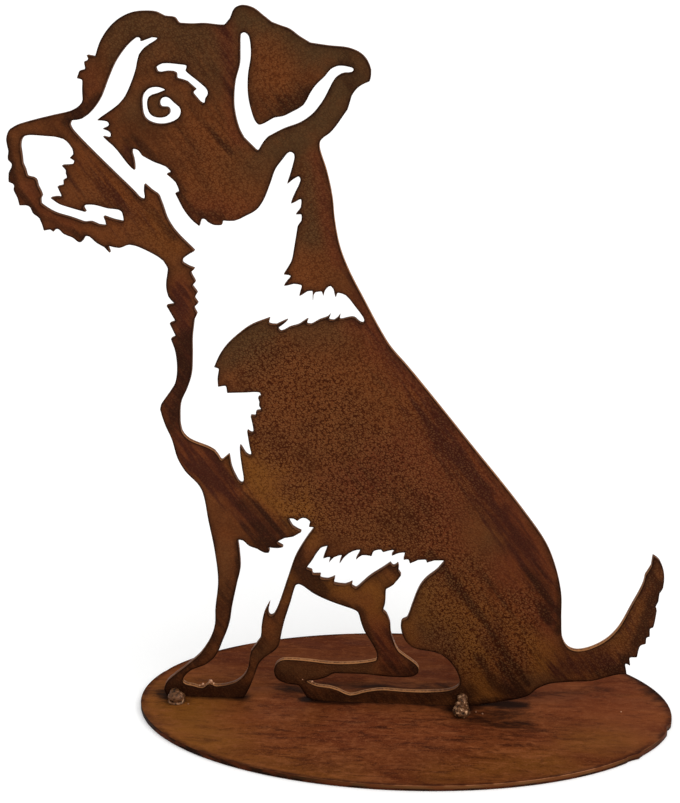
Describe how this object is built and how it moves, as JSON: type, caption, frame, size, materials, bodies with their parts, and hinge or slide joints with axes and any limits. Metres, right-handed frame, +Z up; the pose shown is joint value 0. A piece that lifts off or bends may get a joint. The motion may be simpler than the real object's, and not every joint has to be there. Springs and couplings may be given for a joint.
{
  "type": "metal dog sculpture",
  "caption": "Seated terrier cut from rusted sheet steel, its coat markings cut right through, welded upright on an oval steel base plate.",
  "frame": {"origin": "centre of the base plate's underside", "axes": "+X from the nose towards the tail along the sheet, +Y from the shown face to the back face, +Z up"},
  "size_m": [0.3203, 0.15, 0.3473],
  "materials": {
    "figure_rust": "rusted sheet steel under clear wax, olive brown on the head, dimpled red brown on the body",
    "base_rust": "rusted sheet steel under clear wax, streaked along its length",
    "toe_weld_metal": "heat-darkened weld metal, glossy",
    "hind_weld_metal": "heat-darkened weld metal, glossy, with straw-coloured glints"
  },
  "bodies": {
    "root": {"figure": "figure_rust", "base_plate": "base_rust", "weld_toe": "toe_weld_metal", "weld_hind": "hind_weld_metal"}
  },
  "joints": []
}
